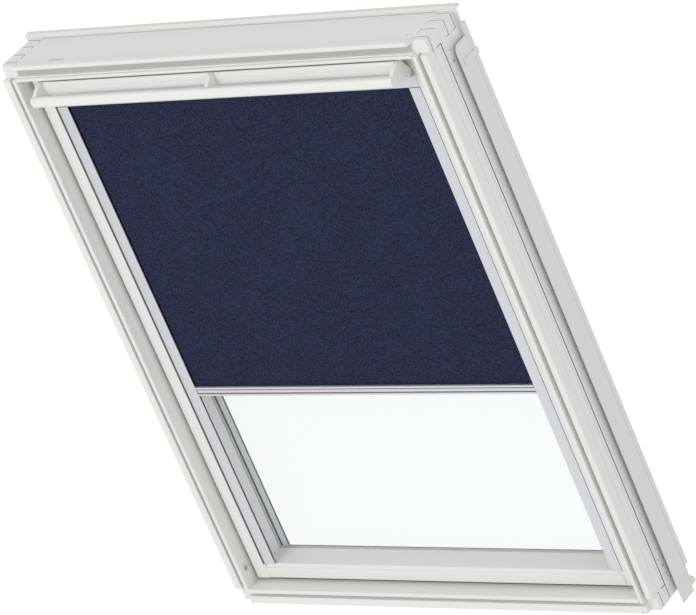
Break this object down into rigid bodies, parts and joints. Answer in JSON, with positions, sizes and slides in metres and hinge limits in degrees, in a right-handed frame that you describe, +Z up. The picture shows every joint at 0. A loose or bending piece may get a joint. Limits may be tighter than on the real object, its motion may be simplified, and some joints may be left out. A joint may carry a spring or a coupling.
{
  "type": "roof window with roller blind",
  "caption": "Centre-pivot roof window with a top control bar and vent flap, double glazing and a dark roller blind running in side channels.",
  "frame": {"origin": "on the frame's lower outer face, midway between its sides and 59.25 mm behind its room-side edge", "axes": "+X to the right seen from the room, +Y from the room to the roof side, +Z up the slope"},
  "size_m": [1.1368, 0.1743, 1.4081],
  "materials": {
    "white_lacquer": "white lacquer, satin",
    "white_coat": "white coat, semi-gloss",
    "pale_metal": "pale grey coat, satin",
    "satin_aluminium": "anodised, satin",
    "zinc": "zinc plated",
    "grey_rubber": "matt",
    "navy_cloth": "fine woven, matt",
    "clear_glass": "clear",
    "spacer_metal": "mill",
    "sealant": "matt",
    "white_plastic": "matt"
  },
  "bodies": {
    "frame": {"frame_top": "white_lacquer", "frame_bottom": "white_lacquer", "frame_left": "white_lacquer", "frame_right": "white_lacquer", "flange_top": "pale_metal", "flange_bottom": "pale_metal", "flange_left": "pale_metal", "flange_right": "pale_metal", "side_cover_left": "pale_metal", "side_cover_right": "pale_metal", "cover_clip_left": "pale_metal", "cover_clip_right": "pale_metal", "frame_seal_lower": "grey_rubber", "frame_seal_upper": "grey_rubber", "bolt_bush_upper": "white_plastic", "bolt_bush_lower": "white_plastic", "frame_hinge_left": "zinc", "frame_hinge_right": "zinc", "lock_strike": "zinc"},
    "sash": {"sash_top": "white_lacquer", "sash_bottom": "white_lacquer", "sash_left": "white_lacquer", "sash_right": "white_lacquer", "glazing_gasket": "grey_rubber", "inner_pane": "clear_glass", "outer_pane": "clear_glass", "glass_spacer": "spacer_metal", "edge_sealant": "sealant", "sash_cover_top": "pale_metal", "sash_cover_bottom": "pale_metal", "sash_cover_left": "pale_metal", "sash_cover_right": "pale_metal", "sash_hinge_left": "zinc", "sash_hinge_right": "zinc", "flap_lug_1": "zinc", "flap_lug_2": "zinc", "flap_lug_3": "zinc", "flap_pin": "zinc", "lock_case": "zinc", "headbox": "satin_aluminium", "headbox_end_left": "white_plastic", "headbox_end_right": "white_plastic", "side_channel_left": "satin_aluminium", "side_channel_right": "satin_aluminium", "blind_fabric": "navy_cloth"},
    "flap": {"vent_flap": "white_coat", "handle_bar": "white_coat", "bar_bracket_left": "white_coat", "bar_bracket_middle": "white_coat", "bar_bracket_right": "white_coat"},
    "latch": {"latch": "zinc"},
    "blind_bar": {"bottom_bar": "satin_aluminium", "end_glide_left": "white_plastic", "end_glide_right": "white_plastic"},
    "roller": {"roller_tube": "satin_aluminium", "fabric_roll": "navy_cloth", "roller_plug_left": "white_plastic", "roller_plug_right": "white_plastic"},
    "bolt": {"barrel_bolt": "zinc"}
  },
  "joints": [
    {"name": "sash_pivot", "type": "hinge", "parent": "frame", "child": "sash", "pos_m": [0, 0.00075, 0.687], "axis": [1, 0, 0], "range_deg": [0, 175]},
    {"name": "flap_hinge", "type": "hinge", "parent": "sash", "child": "flap", "pos_m": [0, -0.03025, 1.286], "axis": [1, 0, 0], "range_deg": [0, 45]},
    {"name": "latch_slide", "type": "slide", "parent": "sash", "child": "latch", "axis": [0, 0, -1], "range_m": [0, 0.009]},
    {"name": "blind_slide", "type": "slide", "parent": "sash", "child": "blind_bar", "axis": [0, 0, 1], "range_m": [-0.435, 0.69], "deforming": ["blind_fabric"]},
    {"name": "roller_turn", "type": "hinge", "parent": "sash", "child": "roller", "pos_m": [0, -0.00105, 1.27235], "axis": [1, 0, 0], "range_deg": [-2600, 1700]},
    {"name": "bolt_slide", "type": "slide", "parent": "sash", "child": "bolt", "axis": [-1, 0, 0], "range_m": [0, 0.01]}
  ],
  "couplings": [
    {"joint": "latch_slide", "follows": "flap_hinge", "m_per_rad": 0.0112},
    {"joint": "roller_turn", "follows": "blind_slide", "rad_per_m": -64.103}
  ]
}
